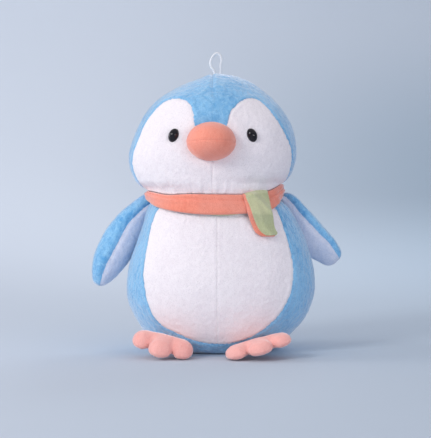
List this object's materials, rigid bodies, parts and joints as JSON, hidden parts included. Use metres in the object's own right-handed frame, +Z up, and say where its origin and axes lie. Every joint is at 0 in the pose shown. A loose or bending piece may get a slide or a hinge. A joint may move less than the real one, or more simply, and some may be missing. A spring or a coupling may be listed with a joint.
{
  "type": "plush penguin",
  "caption": "Standing soft plush penguin with stuffed head, body, flippers and feet, velvet beak, domed eyes, two-layer scarf and a hang loop at the crown.",
  "frame": {"origin": "on the floor under the middle of the plan outline, with the flat base panel on z = 0", "axes": "+Z up, the face looks along -Y, +X to the right of someone facing the penguin"},
  "size_m": [0.2505, 0.1686, 0.2969],
  "materials": {
    "blue_plush": "short blue plush pile",
    "white_plush": "short white plush pile",
    "pale_plush": "short pale lavender-white plush pile",
    "stuffing": "loose polyester fibre filling",
    "coral_velvet": "short coral velvet",
    "scarf_coral": "coral velour",
    "scarf_green": "pale green velour",
    "eye_black": "polished black plastic",
    "washer_plastic": "plain moulded plastic",
    "loop_cord": "white braided cord"
  },
  "bodies": {
    "torso": {"body_stuffing": "stuffing", "belly_panel_left": "white_plush", "belly_panel_right": "white_plush", "back_panel_left": "blue_plush", "back_panel_right": "blue_plush", "base_panel": "blue_plush", "scarf_band": "scarf_coral", "scarf_lining": "scarf_green"},
    "head": {"head_stuffing": "stuffing", "head_panel_left": "blue_plush", "head_panel_right": "blue_plush", "face_panel_left": "white_plush", "face_panel_right": "white_plush", "beak_upper": "coral_velvet", "beak_lower": "coral_velvet", "beak_stuffing": "stuffing", "eye_left": "eye_black", "eye_right": "eye_black", "eye_washer_left": "washer_plastic", "eye_washer_right": "washer_plastic", "hang_loop": "loop_cord"},
    "flipper_left": {"flipper_left_stuffing": "stuffing", "flipper_left_outer": "blue_plush", "flipper_left_inner": "pale_plush"},
    "flipper_right": {"flipper_right_stuffing": "stuffing", "flipper_right_outer": "blue_plush", "flipper_right_inner": "pale_plush"},
    "foot_left": {"foot_left_stuffing": "stuffing", "foot_left_upper": "coral_velvet", "foot_left_sole": "coral_velvet"},
    "foot_right": {"foot_right_stuffing": "stuffing", "foot_right_upper": "coral_velvet", "foot_right_sole": "coral_velvet"},
    "scarf_tail": {"scarf_tail_back": "scarf_coral", "scarf_tail_front": "scarf_green"}
  },
  "joints": [
    {"name": "neck_turn", "type": "hinge", "parent": "torso", "child": "head", "pos_m": [-0.002, 0.0103, 0.1505], "axis": [0, 0, 1], "range_deg": [-20, 20], "stiffness_Nm_per_rad": 0.35},
    {"name": "flipper_left_lift", "type": "hinge", "parent": "torso", "child": "flipper_left", "pos_m": [-0.069, 0.0193, 0.1495], "axis": [0, 1, 0], "range_deg": [0, 45], "stiffness_Nm_per_rad": 0.03},
    {"name": "flipper_right_lift", "type": "hinge", "parent": "torso", "child": "flipper_right", "pos_m": [0.069, 0.0193, 0.1505], "axis": [0, -1, 0], "range_deg": [0, 45], "stiffness_Nm_per_rad": 0.03},
    {"name": "foot_left_flap", "type": "hinge", "parent": "torso", "child": "foot_left", "pos_m": [-0.0455, -0.0352, 0.0192], "axis": [-0.9847, 0.1426, 0.1], "range_deg": [0, 30], "stiffness_Nm_per_rad": 0.05},
    {"name": "foot_right_flap", "type": "hinge", "parent": "torso", "child": "foot_right", "pos_m": [0.037, -0.0417, 0.0148], "axis": [-0.9739, -0.1234, -0.1903], "range_deg": [0, 30], "stiffness_Nm_per_rad": 0.05},
    {"name": "scarf_tail_swing", "type": "hinge", "parent": "torso", "child": "scarf_tail", "pos_m": [0.0368, -0.0513, 0.1565], "axis": [-0.866, -0.5, 0], "range_deg": [0, 70]}
  ]
}
